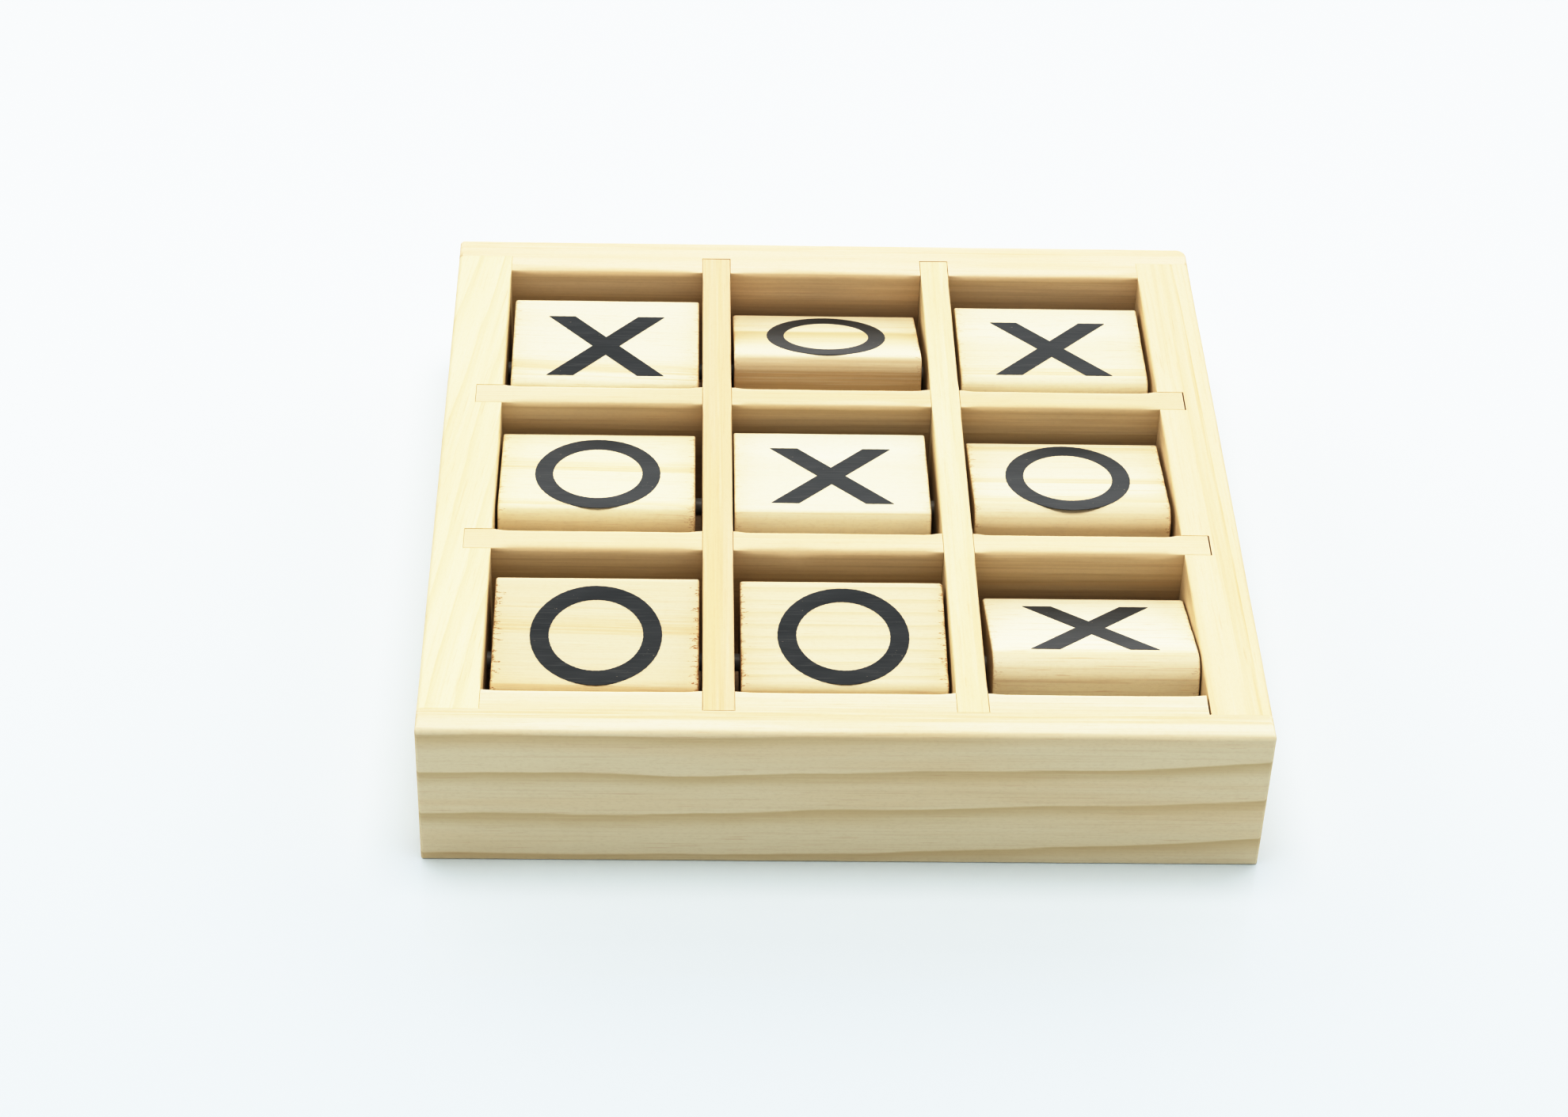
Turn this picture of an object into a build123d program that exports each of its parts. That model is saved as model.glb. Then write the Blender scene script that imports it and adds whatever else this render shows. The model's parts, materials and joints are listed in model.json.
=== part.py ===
from build123d import *
import os
from math import radians, sin, cos

# Flip-block noughts and crosses board.
#
# A square pine tray is divided into nine cells by two long dividers, which run front to back,
# and two cross dividers, which run left to right and are half-lapped under the long ones.
# Three rods run left to right through the cells. Each rod carries three blocks that spin on it,
# with a cross printed on one broad face of every block and a nought on the opposite one.
# +X is right, +Y is away from the player and +Z is up. The origin is the centre of the underside.
# All lengths are in millimetres and all angles in degrees.

# Tray
SIZE = 140.0  # outside width and depth
HEIGHT = 29.0  # height of the rails, and of the dividers' top edges
RAIL = 10.2  # thickness of the four rails
HOUSING = 4.8  # depth of the housings and rebates cut into the rails
DIVIDER = 5.3  # thickness of the dividers
PANEL = 3.0  # thickness of the base panel
GLUE_GAP = 0.03  # clearance on each side of a housed or lapped joint
END_GAP = 0.12  # mean clearance behind the ends of the dividers
CROSS_SLIDE = -0.08  # the cross dividers sit against the left ends of their housings
LONG_SLIDE = -0.06  # and the long ones against the front ends
CORNER_GAP = 0.3  # open joint between the front rail and the inner face of the right rail
CORNER_EASE = 0.7  # radius on the tray's upright corners
WORN_CORNER = 2.0  # radius on the right rear one, which is worn round
OUTER_EASE = 0.8  # radius on the rails' outer top edges
EDGE_EASE = 0.15  # radius on the other top edges

# Rods
ROD_RADIUS = 1.5
ROD_HEIGHT = 19.0  # height of the rods' centre lines
MIDDLE_ROD_SHIFT = 1.0  # how far behind the middle of its row of cells the middle rod lies
FRONT_ROD_SHIFT = 0.35  # and the front one
ROD_RECESS = 0.4  # how far each rod's end sits inside the side rail's outer face
RAIL_HOLE_RADIUS = 1.51  # push fit in the side rails
DIVIDER_HOLE_RADIUS = 1.55

# Blocks
BLOCK_WIDTH = 34.7  # along the rod
BLOCK_DEPTH = 26.6  # across the rod
BLOCK_THICKNESS = 14.8  # between the two printed faces
BLOCK_ROUND = 3.2  # radius of the four long edges
BLOCK_EASE = 0.25  # chamfer round the sawn ends
BORE_RADIUS = 1.58  # running fit on the rod

# Printed marks
INK = 0.1  # thickness of the print
NOUGHT_RADIUS = 11.1
NOUGHT_INNER_RADIUS = 8.05
CROSS_WIDTH = 21.6
CROSS_HEIGHT = 17.0
CROSS_STROKE = 4.9  # width of a stroke's end, measured along the rod

OVERCUT = 1.0  # how far the cutters reach past the wood
NEAR = 0.1  # how close an edge has to be to a place to be chosen there

CELL = (SIZE - 2 * RAIL - 2 * DIVIDER) / 3  # clear opening of a cell
PITCH = CELL + DIVIDER  # from one cell's centre to the next
DIVIDER_AT = PITCH / 2  # from the tray's centre to a divider's middle plane
HOUSED_LENGTH = SIZE - 2 * (RAIL - HOUSING)  # between the bottoms of facing housings
LAP_HEIGHT = (PANEL + HEIGHT) / 2  # where a long divider rests on a cross divider

# Each block: row, column, mark that faces up, tilt about the rod (positive lifts the back edge),
# how far it has slid along the rod, and how far its upper print is off the middle of the face.
BLOCKS = [
    ("back", "left", "cross", 3.8, 0.2, -1.6),
    ("back", "centre", "nought", -18.1, -0.3, -0.4),
    ("back", "right", "cross", -1.3, 0.1, -1.8),
    ("middle", "left", "nought", -5.2, -0.4, -0.9),
    ("middle", "centre", "cross", -3.5, -0.5, -0.6),
    ("middle", "right", "nought", -7.7, 0.1, -1.1),
    ("front", "left", "nought", 7.8, 0.3, -0.6),
    ("front", "centre", "nought", 5.9, 0.3, -0.6),
    ("front", "right", "cross", -15.8, 0.6, -0.7),
]
ROW_Y = {"back": PITCH, "middle": MIDDLE_ROD_SHIFT, "front": FRONT_ROD_SHIFT - PITCH}
COLUMN_X = {"left": -PITCH, "centre": 0.0, "right": PITCH}
SIDES = (-1, 1)


def box_between(low, high):
    """A box from its lowest corner to its highest one."""
    size = [h - l for l, h in zip(low, high)]
    return Pos(*low) * Box(*size, align=(Align.MIN, Align.MIN, Align.MIN))


def rod_hole(radius, y):
    """A cutter for the rod of one row, long enough to pass through the whole tray."""
    return Pos(0, y, ROD_HEIGHT) * Rot(0, 90, 0) * Cylinder(radius, SIZE + 2 * OVERCUT)


def ease_edges(solid, axis, chosen, radius):
    """Rounds those edges along an axis whose middle point passes the test."""
    edges = [e for e in solid.edges().filter_by(axis) if chosen(e.center())]
    return fillet(edges, radius)


def end_rail(gap, left_radius, right_radius):
    """Full-width rail at the front: rebated at both ends for the side rails, and housed for the
    long dividers. The gap is an open joint at its right end, and the radii are its corners'."""
    outer, inner = -SIZE / 2, -SIZE / 2 + RAIL
    bottom_of_housing = inner - HOUSING
    rail = box_between((-SIZE / 2, outer, 0), (SIZE / 2, inner, HEIGHT))
    rail = ease_edges(rail, Axis.Z, lambda c: c.Y < outer + NEAR and c.X < 0, left_radius)
    rail = ease_edges(rail, Axis.Z, lambda c: c.Y < outer + NEAR and c.X > 0, right_radius)
    tongue_left, tongue_right = -SIZE / 2 + RAIL, SIZE / 2 - RAIL - gap
    top = HEIGHT + OVERCUT
    for near, far in ((-SIZE, tongue_left), (tongue_right, SIZE)):
        rail -= box_between((near, bottom_of_housing, -OVERCUT), (far, inner + OVERCUT, top))
    for side in SIDES:
        half = DIVIDER / 2 + GLUE_GAP
        middle = side * DIVIDER_AT
        low = (middle - half, bottom_of_housing, -OVERCUT)
        rail -= box_between(low, (middle + half, inner + OVERCUT, top))
    rail -= box_between((-SIZE, bottom_of_housing, -OVERCUT), (SIZE, inner + OVERCUT, PANEL))
    rail = ease_edges(rail, Axis.X, lambda c: c.Z > HEIGHT - NEAR and c.Y < outer + NEAR, OUTER_EASE)
    return ease_edges(rail, Axis.X, lambda c: c.Z > HEIGHT - NEAR and c.Y > inner - NEAR, EDGE_EASE)


def right_rail():
    """Side rail between the front and back rails, housed for the cross dividers and drilled."""
    inner, outer = SIZE / 2 - RAIL, SIZE / 2
    bottom_of_housing = inner + HOUSING
    end = HOUSED_LENGTH / 2
    rail = box_between((inner, -end, 0), (outer, end, HEIGHT))
    for side in SIDES:
        half = DIVIDER / 2 + GLUE_GAP
        middle = side * DIVIDER_AT
        low = (inner - OVERCUT, middle - half, -OVERCUT)
        rail -= box_between(low, (bottom_of_housing, middle + half, HEIGHT + OVERCUT))
    rail -= box_between((inner - OVERCUT, -SIZE, -OVERCUT), (bottom_of_housing, SIZE, PANEL))
    for y in ROW_Y.values():
        rail -= rod_hole(RAIL_HOLE_RADIUS, y)
    rail = ease_edges(rail, Axis.Y, lambda c: c.Z > HEIGHT - NEAR and c.X > outer - NEAR, OUTER_EASE)
    return ease_edges(rail, Axis.Y, lambda c: c.Z > HEIGHT - NEAR and c.X < inner + NEAR, EDGE_EASE)


def long_divider(side):
    """Front-to-back board: housed in the end rails, notched from below, drilled for the rods."""
    end = HOUSED_LENGTH / 2 - END_GAP
    x = side * DIVIDER_AT
    half = DIVIDER / 2
    board = box_between((x - half, LONG_SLIDE - end, PANEL), (x + half, LONG_SLIDE + end, HEIGHT))
    for notch in SIDES:
        y = notch * DIVIDER_AT
        width = half + GLUE_GAP
        board -= box_between((x - DIVIDER, y - width, 0), (x + DIVIDER, y + width, LAP_HEIGHT))
    for y in ROW_Y.values():
        board -= rod_hole(DIVIDER_HOLE_RADIUS, y)
    return ease_edges(board, Axis.Y, lambda c: c.Z > HEIGHT - NEAR, EDGE_EASE)


def cross_divider(side):
    """Left-to-right board: housed in the side rails, notched from above for the long dividers."""
    end = HOUSED_LENGTH / 2 - END_GAP
    y = side * DIVIDER_AT
    half = DIVIDER / 2
    board = box_between((CROSS_SLIDE - end, y - half, PANEL), (CROSS_SLIDE + end, y + half, HEIGHT))
    for notch in SIDES:
        x = notch * DIVIDER_AT
        width = half + GLUE_GAP
        top = HEIGHT + OVERCUT
        board -= box_between((x - width, y - DIVIDER, LAP_HEIGHT), (x + width, y + DIVIDER, top))
    return ease_edges(board, Axis.X, lambda c: c.Z > HEIGHT - NEAR, EDGE_EASE)


def base_panel():
    """Thin board let into the rebate round the underside, flush with it."""
    half = HOUSED_LENGTH / 2 - GLUE_GAP
    return box_between((-half, -half, 0), (half, half, PANEL))


def axle_rod(y):
    """Plain round rod from one side rail to the other."""
    length = SIZE - 2 * ROD_RECESS
    return Pos(0, y, ROD_HEIGHT) * Rot(0, 90, 0) * Cylinder(ROD_RADIUS, length)


def block():
    """One block at the origin: its rod along X and its upper printed face towards +Z."""
    outline = Plane.YZ * RectangleRounded(BLOCK_DEPTH, BLOCK_THICKNESS, BLOCK_ROUND)
    solid = Pos(-BLOCK_WIDTH / 2, 0, 0) * extrude(outline, BLOCK_WIDTH)
    ends = solid.faces().filter_by(Axis.X)
    solid = chamfer(ends.edges(), BLOCK_EASE)
    return solid - Rot(0, 90, 0) * Cylinder(BORE_RADIUS, BLOCK_WIDTH + 2 * OVERCUT)


def nought():
    """Ring lying on the plane Z = 0."""
    return extrude(Circle(NOUGHT_RADIUS) - Circle(NOUGHT_INNER_RADIUS), INK)


def cross():
    """Two slanting strokes with level ends, lying on the plane Z = 0."""
    half_width, half_height = CROSS_WIDTH / 2, CROSS_HEIGHT / 2
    inner = half_width - CROSS_STROKE
    corners = [
        (half_width, half_height),
        (inner, half_height),
        (-half_width, -half_height),
        (-inner, -half_height),
    ]
    stroke = extrude(Polygon(*corners, align=None), INK)
    return stroke + mirror(stroke, about=Plane.YZ)


def marks(upper, offset):
    """Both prints of a block, in the block's own place: the upper mark, and the other below."""
    shapes = {"nought": nought(), "cross": cross()}
    lower = "cross" if upper == "nought" else "nought"
    face = BLOCK_THICKNESS / 2
    above = Pos(0, offset, face) * shapes[upper]
    below = Rot(180, 0, 0) * Pos(0, 0, face) * shapes[lower]
    return Compound(children=[above.solid(), below.solid()])


def placed(shape, row, column, tilt, slide):
    """Puts a block or its marks on the row's rod, tilted and slid along."""
    x = COLUMN_X[column] + slide
    return Pos(x, ROW_Y[row], ROD_HEIGHT) * Rot(tilt, 0, 0) * shape


def parts():
    """Every sub-part by the name of its node."""
    half_turn = Rot(0, 0, 180)
    made = {
        "front_rail": end_rail(CORNER_GAP, CORNER_EASE, CORNER_EASE),
        "back_rail": half_turn * end_rail(0.0, WORN_CORNER, CORNER_EASE),
        "right_rail": right_rail(),
        "left_rail": mirror(right_rail(), about=Plane.YZ),
        "long_divider_left": long_divider(-1),
        "long_divider_right": long_divider(1),
        "cross_divider_front": cross_divider(-1),
        "cross_divider_back": cross_divider(1),
        "base_panel": base_panel(),
    }
    for row, y in ROW_Y.items():
        made[f"axle_rod_{row}"] = axle_rod(y)
    for row, column, upper, tilt, slide, offset in BLOCKS:
        made[f"block_{row}_{column}"] = placed(block(), row, column, tilt, slide)
        made[f"marks_{row}_{column}"] = placed(marks(upper, offset), row, column, tilt, slide)
    return made


def swing_clearance():
    """Gaps between a block turning in the middle of its cell and the cell's walls, and the base panel."""
    flat_depth = BLOCK_DEPTH / 2 - BLOCK_ROUND
    flat_thickness = BLOCK_THICKNESS / 2 - BLOCK_ROUND
    reach = (flat_depth**2 + flat_thickness**2) ** 0.5 + BLOCK_ROUND
    return CELL / 2 - reach, ROD_HEIGHT - PANEL - reach


def rest_gap(tilt):
    """Gap in front of and behind a block tilted by this angle in the middle of its cell."""
    angle = radians(abs(tilt))
    flat_depth = BLOCK_DEPTH / 2 - BLOCK_ROUND
    flat_thickness = BLOCK_THICKNESS / 2 - BLOCK_ROUND
    return CELL / 2 - (flat_depth * cos(angle) + flat_thickness * sin(angle) + BLOCK_ROUND)


os.makedirs("parts", exist_ok=True)
for name, shape in parts().items():
    export_step(shape, f"parts/{name}.step")
print("cell", round(CELL, 3), "pitch", round(PITCH, 3))
print("swing clearance to walls and panel", [round(c, 2) for c in swing_clearance()])
for row, column, _, tilt, _, _ in BLOCKS:
    print("gap beside block", row, column, round(rest_gap(tilt), 2))
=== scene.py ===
"""Looks of a flip-block noughts and crosses board: a pine tray, nine printed pine blocks and their rods.

+X is right, +Y is away from the player and +Z is up. Blender works in metres. Sizes here are in millimetres,
turned into metres with MM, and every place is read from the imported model. Angles are in degrees and colours are
linear red, green and blue, unless a comment says otherwise.
"""
import json
import math

import bmesh
import bpy
import numpy as np
from mathutils import Matrix, Vector


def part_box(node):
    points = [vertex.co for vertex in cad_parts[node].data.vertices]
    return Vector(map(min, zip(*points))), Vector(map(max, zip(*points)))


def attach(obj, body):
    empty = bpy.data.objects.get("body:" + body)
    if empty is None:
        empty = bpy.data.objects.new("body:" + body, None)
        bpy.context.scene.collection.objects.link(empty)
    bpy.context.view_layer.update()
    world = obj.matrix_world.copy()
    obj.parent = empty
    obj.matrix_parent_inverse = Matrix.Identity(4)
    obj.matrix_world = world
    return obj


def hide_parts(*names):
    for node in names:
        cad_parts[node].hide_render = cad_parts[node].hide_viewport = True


MM = 0.001

# camera
CAMERA_PLACE = (-28.158, -482.084, 405.742)
CAMERA_YAW, CAMERA_PITCH, CAMERA_ROLL = -0.0409, 0.6895, 0.0359  # radians
CAMERA_LENS, CAMERA_SENSOR = 79.19, 36.0

# light
BACKDROP, ROOM, CEILING = 2.5, 0.9, 0.11  # brightness of the walls behind and in front, and of the ceiling
ROOM_TO_BACKDROP = (-0.2, 0.5)  # the part of the view direction in Y over which the one turns into the other
WALL_TO_CEILING = (0.55, 0.80)  # the same in Z
SOFT_BOX = 9.1  # watts
SOFT_BOX_SIZE, SOFT_BOX_HEIGHT = (0.6, 0.5), 1.0  # metres
CONTRAST, SHOULDER = 1.59, 7.4  # of the camera's response
BRIGHTEST = 2.5  # light that the response curve ends at
CURVE_STEPS = 14

# pine
RING_BROWN = (0.61, 0.465, 0.23)
BAND_TAN = (0.70, 0.50, 0.25)
WARM_TAN = (0.80, 0.60, 0.345)
FIBRE_BROWN = (0.58, 0.38, 0.19)
FIBRE_CREAM = (0.91, 0.83, 0.64)
DASH_BROWN = (0.60, 0.37, 0.19)
MOTTLE_BROWN = (0.52, 0.39, 0.22)
# the brown of the painted shade on the upright faces of the cells
SIDE_SHADE_BROWN = (0.50, 0.36, 0.19)
SAWN_BROWN = (0.62, 0.44, 0.25)
# the brown of the painted shadow in a block's torn ends
TORN_SHADOW_BROWN = (0.42, 0.235, 0.10)
SEED_STEP = (311.0, 47.0, 29.0)  # how far one seed moves the noise, so that no two boards share a figure

# boards
MERGE, FLAT, ON_CUT = 0.002, 0.4, 0.004  # points this near and faces this flat are joined, and the cuts' tolerance
NEAR_EDGE = (0.12, 0.3, 0.55, 0.85, 1.2, 1.7)  # distances of the cuts beside an edge
JOINT_REACH = 1.6  # distance over which a sanded arris starts beside a joint
SHARP_EDGE = 35.0
STEPS = {"X": (1.2, 2.4, 2.6), "Y": (2.4, 1.2, 2.6)}  # distances of the cuts elsewhere, by the board's direction
PANEL_STEPS = (6.0, 6.0, 1.0)

# rods
ROD_SIDES, ROD_STATIONS, ROD_EASE = 64, 46, 0.25
ROD_END_RADII = (0.35, 0.7)  # of the rings on a rod's flat end

# blocks and their prints
OUTLINE_SPACING = 0.3
END_STATIONS = [0.0, 0.05, 0.12, 0.22, 0.36, 0.55, 0.85, 1.3, 2.0, 3.0]  # distances of the rings from a block's end
MIDDLE_STATIONS = 16
END_FACE_SHARES = (0.05, 0.14, 0.30, 0.50, 0.72, 0.90, 0.975)  # of the way from a block's edge to its bore
THROAT_SHARES = (0.6, 0.0, -0.6)  # of the way from a block's middle to its end, for the rings in its bore
SAW_SKEW, SKEW_DEPTH = 0.06, 13.0  # how far a sawn end leans, over this depth
FACE_INSET = 0.02  # of a block's long faces from the CAD ones, so that their waves stay inside
BLOCK_SHARP_EDGE = 60.0
BORE_RADIUS = 1.58
INK_THICKNESS, INK_FOOT, PRINT_INSET = 0.06, -0.03, 0.01
NOUGHT_SIDES, NOUGHT_BAND, CROSS_STROKE, CROSS_SPACING = 360, 3.15, 4.9, 0.28

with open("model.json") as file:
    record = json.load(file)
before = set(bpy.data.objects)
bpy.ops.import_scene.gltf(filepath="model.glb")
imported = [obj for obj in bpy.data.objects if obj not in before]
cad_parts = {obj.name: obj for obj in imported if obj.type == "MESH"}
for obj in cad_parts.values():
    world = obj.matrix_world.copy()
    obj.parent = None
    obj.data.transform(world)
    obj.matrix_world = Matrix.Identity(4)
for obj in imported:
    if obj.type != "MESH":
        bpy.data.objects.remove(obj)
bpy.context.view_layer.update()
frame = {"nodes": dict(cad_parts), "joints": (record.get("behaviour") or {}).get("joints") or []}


# ---------------------------------------------------------------- camera, light and floor

def add_object(name, data):
    """A new object in the scene."""
    made = bpy.data.objects.new(name, data)
    bpy.context.scene.collection.objects.link(made)
    return made


def make_camera():
    """The camera looks down at the tray from in front of it and a little to its left."""
    data = bpy.data.cameras.new("camera")
    data.sensor_width = CAMERA_SENSOR
    data.lens = CAMERA_LENS
    data.clip_start, data.clip_end = 0.01, 20.0
    camera = add_object("camera", data)
    turn = (
        Matrix.Rotation(CAMERA_YAW, 4, "Z")
        @ Matrix.Rotation(math.pi / 2 - CAMERA_PITCH, 4, "X")
        @ Matrix.Rotation(CAMERA_ROLL, 4, "Z")
    )
    camera.matrix_world = Matrix.Translation(Vector(CAMERA_PLACE) * MM) @ turn
    bpy.context.scene.camera = camera


def make_light():
    """A pale studio with a bright backdrop, a dimmer room in front, and a soft box straight above the tray."""
    world = bpy.data.worlds.new("studio")
    world.use_nodes = True
    tree = world.node_tree
    background = tree.nodes["Background"]
    direction = tree.nodes.new("ShaderNodeSeparateXYZ")
    tree.links.new(tree.nodes.new("ShaderNodeTexCoord").outputs["Generated"], direction.inputs[0])

    def blend(value, start, stop, first, last):
        made = tree.nodes.new("ShaderNodeMapRange")
        made.interpolation_type = "SMOOTHSTEP"
        inputs = (value, start, stop, first, last)
        for name, given in zip(("Value", "From Min", "From Max", "To Min", "To Max"), inputs):
            if isinstance(given, float):
                made.inputs[name].default_value = given
            else:
                tree.links.new(given, made.inputs[name])
        return made.outputs["Result"]

    walls = blend(direction.outputs["Y"], *ROOM_TO_BACKDROP, ROOM, BACKDROP)
    level = blend(direction.outputs["Z"], *WALL_TO_CEILING, walls, CEILING)
    tree.links.new(level, background.inputs["Strength"])
    background.inputs["Color"].default_value = (1.0, 1.0, 1.0, 1.0)
    bpy.context.scene.world = world

    data = bpy.data.lights.new("overhead", "AREA")
    data.shape = "RECTANGLE"
    data.size, data.size_y = SOFT_BOX_SIZE
    data.energy = SOFT_BOX
    light = add_object("overhead", data)
    light.location = (0.0, 0.0, SOFT_BOX_HEIGHT)
    light.rotation_euler = Vector((0.0, 0.0, -1.0)).to_track_quat("-Z", "Y").to_euler()


def make_exposure():
    """The response of a consumer camera: more contrast than a plain render, with highlights that roll off."""
    def encoded(light):
        """The sRGB curve."""
        return 12.92 * light if light < 0.0031308 else 1.055 * light ** (1 / 2.4) - 0.055

    def decoded(value):
        """The sRGB curve backwards."""
        return value / 12.92 if value < 0.04045 else ((value + 0.055) / 1.055) ** 2.4

    def response(light):
        steep = encoded(light) ** CONTRAST
        return decoded(steep / (1 + steep**SHOULDER) ** (1 / SHOULDER))

    settings = bpy.context.scene.view_settings
    settings.view_transform = "Standard"
    settings.look = "None"
    settings.use_curve_mapping = True
    mapping = settings.curve_mapping
    mapping.white_level = (BRIGHTEST, BRIGHTEST, BRIGHTEST)
    points = mapping.curves[3].points
    for k in range(1, CURVE_STEPS):
        light = BRIGHTEST * (k / CURVE_STEPS) ** 2
        points.new(light / BRIGHTEST, response(light))
    points[len(points) - 1].location = (1.0, response(BRIGHTEST))
    mapping.update()


def make_floor():
    """A pale, slightly glossy table top."""
    half = 1.6  # metres
    corners = [(-half, -half, 0), (half, -half, 0), (half, half, 0), (-half, half, 0)]
    mesh = bpy.data.meshes.new("floor")
    mesh.from_pydata(corners, [], [(0, 1, 2, 3)])
    floor = add_object("floor", mesh)
    material = bpy.data.materials.new("floor")
    material.use_nodes = True
    shader = material.node_tree.nodes["Principled BSDF"]
    shader.inputs["Base Color"].default_value = (0.79, 0.88, 0.935, 1.0)
    shader.inputs["Roughness"].default_value = 0.04
    shader.inputs["Specular IOR Level"].default_value = 0.95
    mesh.materials.append(material)


# ---------------------------------------------------------------- materials

class Graph:
    """Short calls for building the node tree of one material."""

    def __init__(self, name):
        self.material = bpy.data.materials.new(name)
        self.material.use_nodes = True
        self.tree = self.material.node_tree
        self.shader = self.tree.nodes["Principled BSDF"]
        coordinates = self.node("ShaderNodeTexCoord")
        self.object = coordinates.outputs["Object"]
        self.normal = coordinates.outputs["Normal"]

    def node(self, kind, **settings):
        made = self.tree.nodes.new(kind)
        for key, value in settings.items():
            setattr(made, key, value)
        return made

    def put(self, socket, value):
        """Links an output to a socket, or sets the socket's own value."""
        if isinstance(value, bpy.types.NodeSocket):
            self.tree.links.new(value, socket)
        else:
            socket.default_value = value

    def math(self, operation, *values, clamp=False):
        made = self.node("ShaderNodeMath", operation=operation, use_clamp=clamp)
        for socket, value in zip(made.inputs, values):
            self.put(socket, value)
        return made.outputs[0]

    def add(self, first, second):
        return self.math("ADD", first, second)

    def times(self, first, second):
        return self.math("MULTIPLY", first, second)

    def vector(self, operation, *values):
        made = self.node("ShaderNodeVectorMath", operation=operation)
        for socket, value in zip(made.inputs, values):
            self.put(socket, value)
        return made.outputs[0]

    def scaled(self, vector, factors):
        return self.vector("MULTIPLY", vector, factors)

    def millimetres(self):
        """The object's own coordinates in millimetres."""
        return self.scaled(self.object, (1000.0, 1000.0, 1000.0))

    def split(self, vector):
        made = self.node("ShaderNodeSeparateXYZ")
        self.put(made.inputs[0], vector)
        return made.outputs

    def noise(self, vector, factors, detail=2.0, roughness=0.5, distortion=0.0):
        """Noise whose features are about as long as one over the factors."""
        made = self.node("ShaderNodeTexNoise")
        self.put(made.inputs["Vector"], self.scaled(vector, factors))
        made.inputs["Scale"].default_value = 1.0
        made.inputs["Detail"].default_value = detail
        made.inputs["Roughness"].default_value = roughness
        made.inputs["Distortion"].default_value = distortion
        return made.outputs["Fac"]

    def between(self, value, low, high):
        """0 at low and 1 at high, smooth in between and constant outside."""
        made = self.node("ShaderNodeMapRange", interpolation_type="SMOOTHSTEP")
        self.put(made.inputs["Value"], value)
        made.inputs["From Min"].default_value = low
        made.inputs["From Max"].default_value = high
        return made.outputs["Result"]

    def mix(self, factor, first, second):
        """The first colour where factor is 0 and the second where it is 1."""
        made = self.node("ShaderNodeMix", data_type="RGBA")
        self.put(made.inputs["Factor"], factor)
        for key, value in (("A", first), ("B", second)):
            socket = next(s for s in made.inputs if s.name == key and s.type == "RGBA")
            self.put(socket, value if isinstance(value, bpy.types.NodeSocket) else (*value, 1.0))
        return next(s for s in made.outputs if s.type == "RGBA")

    def bump(self, height, depth_mm, strength):
        made = self.node("ShaderNodeBump")
        made.inputs["Strength"].default_value = strength
        made.inputs["Distance"].default_value = depth_mm * MM
        self.put(made.inputs["Height"], height)
        self.put(self.shader.inputs["Normal"], made.outputs["Normal"])


def grain_space(graph, along, slope, seed):
    """Coordinates in millimetres with X along the grain, as they are and moved far off by the seed."""
    made = graph.node("ShaderNodeMapping", vector_type="TEXTURE")
    turn = {"X": 0.0, "Y": math.pi / 2}[along] + math.radians(slope)
    made.inputs["Rotation"].default_value = (0.0, 0.0, turn)
    made.inputs["Scale"].default_value = (MM, MM, MM)
    graph.put(made.inputs["Vector"], graph.object)
    place = made.outputs[0]
    return place, graph.vector("ADD", place, tuple(step * seed for step in SEED_STEP))


def leaning(graph, v, w, degrees):
    """Distance in the direction that leans by this angle from Y towards Z."""
    angle = math.radians(degrees)
    return graph.add(graph.times(v, math.cos(angle)), graph.times(w, math.sin(angle)))


def growth_rings(graph, u, v, w, waves, lean, spacing, shift, rise):
    """0 to 1: rings that darken slowly and end sharply, wavy by waves.

    rise lifts them, in millimetres, more and more towards the right end of a 140 mm board of the tray. With it they
    also fade just below the board's upper face.
    """
    across = graph.add(leaning(graph, v, w, lean), waves)
    if rise:
        along_board = graph.math("ADD", graph.times(u, 1 / 140.0), 0.5, clamp=True)
        across = graph.add(across, graph.times(graph.math("POWER", along_board, 2.5), -rise))
    turns = graph.add(graph.math("DIVIDE", across, spacing), 10.0 + shift / spacing)
    phase = graph.math("FRACT", turns)
    slow = graph.math("POWER", graph.between(phase, 0.35, 1.0), 2.2)
    ring = graph.times(slow, graph.between(phase, 1.0, 0.94))
    if rise:
        below_top = graph.between(w, 28.9, 27.2)
        ring = graph.times(ring, graph.add(graph.times(below_top, 0.8), 0.2))
    return ring


def tan_band(graph, colour, v, w, waves, fibre, lean, at, reach, strength):
    """Adds a broad tan stripe: its lean, where its sharp side is, how far it fades from there, its strength."""
    line = graph.add(leaning(graph, v, w, lean), graph.times(waves, 0.3))
    share = graph.math("DIVIDE", graph.math("SUBTRACT", line, at), reach)
    profile = graph.times(graph.between(share, 1.0, 0.0), graph.between(share, -0.08, 0.02))
    broken = graph.times(graph.between(fibre, 0.25, 0.6), profile)
    return graph.mix(graph.times(broken, strength), colour, BAND_TAN)


def grain_and_shade_sides(graph, colour, along, w, far, amount):
    """Darkens a board's upright faces with painted shade, more so lower down, with grain lines through it. A board
    along X is shaded on its front only.
    """
    if along == "X":
        facing = graph.times(graph.split(graph.normal)[1], -1.0)
    else:
        facing = graph.math("ABSOLUTE", graph.split(graph.normal)[0])
    upright = graph.between(facing, 0.25, 0.75)
    line = graph.noise(far, (0.02, 0.3, 1.5), detail=4.0, roughness=0.62)
    # painted shade: a base amount with grain lines through it, growing towards the bottom of the face
    grain_and_shade = graph.add(graph.times(graph.between(line, 0.42, 0.66), 0.30), 0.28)
    grain_and_shade = graph.add(grain_and_shade, graph.times(graph.between(w, 28.0, 14.0), 0.35))
    return graph.mix(graph.times(graph.times(grain_and_shade, upright), amount), colour, SIDE_SHADE_BROWN)


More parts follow.
